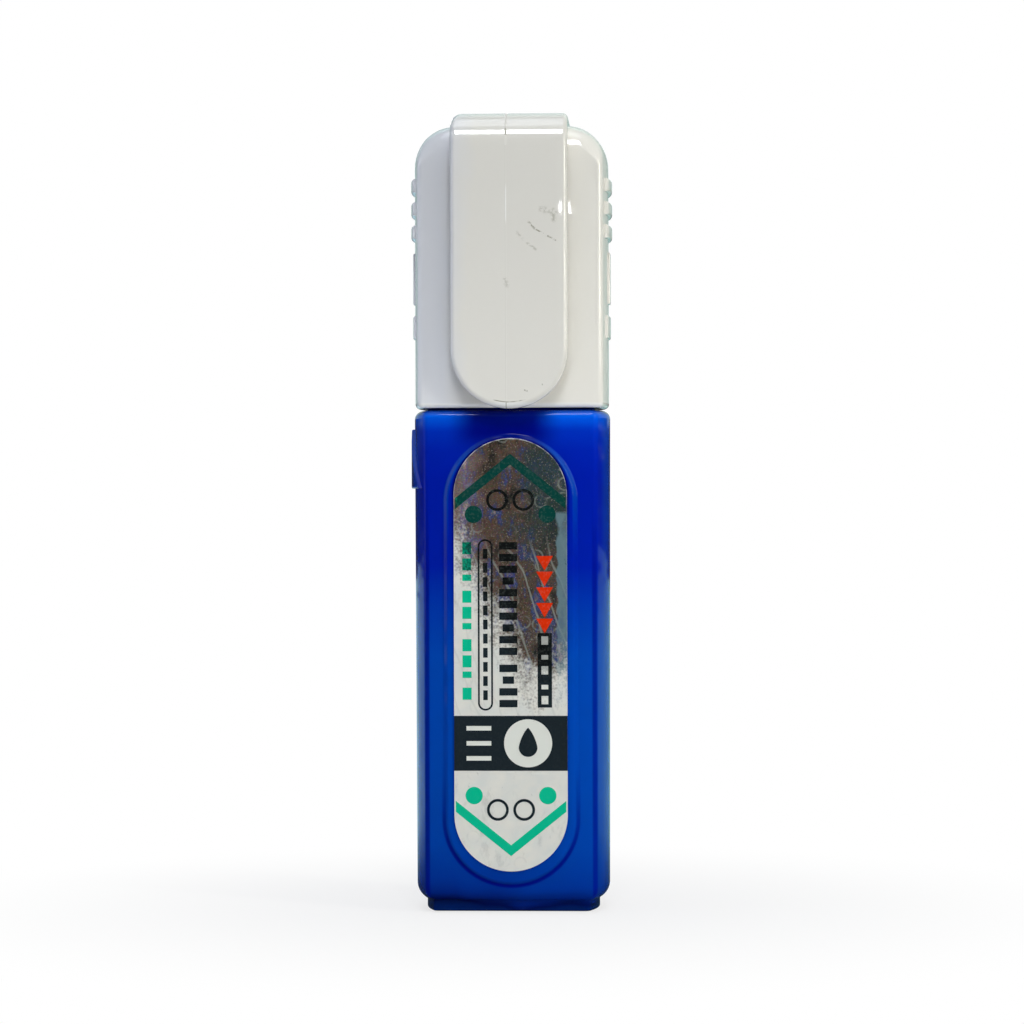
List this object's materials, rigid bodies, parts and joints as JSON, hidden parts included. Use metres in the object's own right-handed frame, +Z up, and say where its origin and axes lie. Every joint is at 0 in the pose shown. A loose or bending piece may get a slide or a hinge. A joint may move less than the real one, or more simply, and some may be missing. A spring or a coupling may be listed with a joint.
{
  "type": "correction pen",
  "caption": "Correction pen: a squeezable flat bottle with a foil label, a needle-valve metal tip, and a pull-off cap with a pocket clip.",
  "frame": {"origin": "centre of the foot's flat underside, on the bottle's upright axis", "axes": "+Z up along the pen towards the cap, -Y towards the side with the label and the clip, +X to the right as seen from that side"},
  "size_m": [0.0272, 0.0182, 0.1064],
  "materials": {
    "bottle_blue": "gloss, slightly translucent",
    "plug_blue": "gloss",
    "label_foil": "printed foil film",
    "ball_steel": "polished",
    "nozzle_ivory": "satin",
    "tip_steel": "turned",
    "needle_steel": "satin",
    "spring_steel": "drawn wire",
    "seat_plastic": "matte",
    "cap_white": "gloss",
    "seal_grey": "matte"
  },
  "bodies": {
    "bottle_body": {"bottle": "bottle_blue", "base_plug": "plug_blue", "front_label": "label_foil", "mixing_ball": "ball_steel", "nozzle": "nozzle_ivory", "metal_tip": "tip_steel", "valve_spring": "spring_steel", "spring_seat": "seat_plastic"},
    "needle_body": {"valve_needle": "needle_steel"},
    "cap_body": {"cap": "cap_white", "tip_seal": "seal_grey"}
  },
  "joints": [
    {"name": "cap_pull", "type": "slide", "parent": "bottle_body", "child": "cap_body", "axis": [0, 0, 1], "range_m": [0, 0.04]},
    {"name": "needle_press", "type": "slide", "parent": "bottle_body", "child": "needle_body", "axis": [0, 0, -1], "range_m": [0, 0.0004], "stiffness_N_per_m": 300, "springref_m": -0.001, "deforming": ["valve_spring"]}
  ]
}
